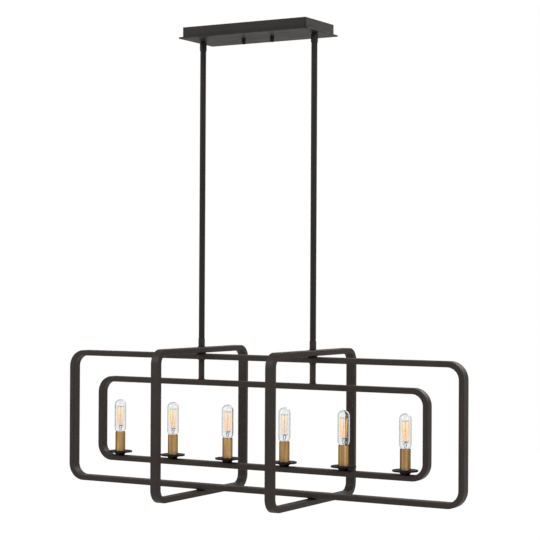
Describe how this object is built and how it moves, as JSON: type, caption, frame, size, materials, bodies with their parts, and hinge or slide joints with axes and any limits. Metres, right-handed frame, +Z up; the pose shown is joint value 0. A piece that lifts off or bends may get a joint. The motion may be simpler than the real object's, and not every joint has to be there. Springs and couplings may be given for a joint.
{
  "type": "linear island pendant",
  "caption": "Linear island pendant: ceiling canopy and two stems carry nested rectangular bar frames with a row of candle lights inside.",
  "frame": {"origin": "on the ceiling plane, at the middle of the mounting bracket's screw slots", "axes": "+Z up into the ceiling, +X along the frames, +Y square to them"},
  "size_m": [0.965, 0.361, 1.0041],
  "materials": {
    "dark_bronze": "satin dark bronze over steel",
    "antique_brass": "brushed antique brass",
    "contact_brass": "bright brass",
    "plated_steel": "zinc plated",
    "socket_plastic": "moulded",
    "lamp_glass": "clear",
    "filament": "glowing filament"
  },
  "bodies": {
    "canopy": {"mounting_bracket": "plated_steel", "canopy_box": "dark_bronze", "canopy_plate": "dark_bronze", "canopy_studs": "plated_steel", "stud_locknuts": "plated_steel", "canopy_cap_nuts": "dark_bronze"},
    "hung_frames": {"bobeche_1": "dark_bronze", "bobeche_2": "dark_bronze", "bobeche_3": "dark_bronze", "bobeche_4": "dark_bronze", "bobeche_5": "dark_bronze", "bobeche_6": "dark_bronze", "candle_sleeve_1": "antique_brass", "candle_sleeve_2": "antique_brass", "candle_sleeve_3": "antique_brass", "candle_sleeve_4": "antique_brass", "candle_sleeve_5": "antique_brass", "candle_sleeve_6": "antique_brass", "centre_contacts": "contact_brass", "cross_frame_left": "dark_bronze", "cross_frame_right": "dark_bronze", "cross_washers": "dark_bronze", "crossing_spacers": "dark_bronze", "drop_tubes": "dark_bronze", "frame_screws": "dark_bronze", "inner_frame": "dark_bronze", "lower_cone_collars": "dark_bronze", "lower_spacers": "dark_bronze", "outer_frame": "dark_bronze", "pipe_weld_nuts": "plated_steel", "screw_shells": "contact_brass", "socket_bodies": "socket_plastic", "socket_nipples": "plated_steel", "socket_weld_nuts": "plated_steel", "stem_couplings": "dark_bronze", "stem_left": "dark_bronze", "stem_right": "dark_bronze", "swivel_balls": "dark_bronze", "swivel_collars": "dark_bronze", "threaded_pipes": "plated_steel", "upper_cone_collars": "dark_bronze"},
    "lamp_1": {"lamp_cap_1": "contact_brass", "lamp_glass_1": "lamp_glass", "filament_1": "filament"},
    "lamp_2": {"lamp_cap_2": "contact_brass", "lamp_glass_2": "lamp_glass", "filament_2": "filament"},
    "lamp_3": {"lamp_cap_3": "contact_brass", "lamp_glass_3": "lamp_glass", "filament_3": "filament"},
    "lamp_4": {"lamp_cap_4": "contact_brass", "lamp_glass_4": "lamp_glass", "filament_4": "filament"},
    "lamp_5": {"lamp_cap_5": "contact_brass", "lamp_glass_5": "lamp_glass", "filament_5": "filament"},
    "lamp_6": {"lamp_cap_6": "contact_brass", "lamp_glass_6": "lamp_glass", "filament_6": "filament"}
  },
  "joints": [
    {"name": "hang_swing", "type": "hinge", "parent": "canopy", "child": "hung_frames", "pos_m": [0, 0, -0.01743], "axis": [1, 0, 0], "range_deg": [-10, 10]},
    {"name": "lamp_1_lift", "type": "slide", "parent": "hung_frames", "child": "lamp_1", "axis": [0, 0, 1], "range_m": [0, 0.03]},
    {"name": "lamp_2_lift", "type": "slide", "parent": "hung_frames", "child": "lamp_2", "axis": [0, 0, 1], "range_m": [0, 0.03]},
    {"name": "lamp_3_lift", "type": "slide", "parent": "hung_frames", "child": "lamp_3", "axis": [0, 0, 1], "range_m": [0, 0.03]},
    {"name": "lamp_4_lift", "type": "slide", "parent": "hung_frames", "child": "lamp_4", "axis": [0, 0, 1], "range_m": [0, 0.03]},
    {"name": "lamp_5_lift", "type": "slide", "parent": "hung_frames", "child": "lamp_5", "axis": [0, 0, 1], "range_m": [0, 0.03]},
    {"name": "lamp_6_lift", "type": "slide", "parent": "hung_frames", "child": "lamp_6", "axis": [0, 0, 1], "range_m": [0, 0.03]}
  ]
}
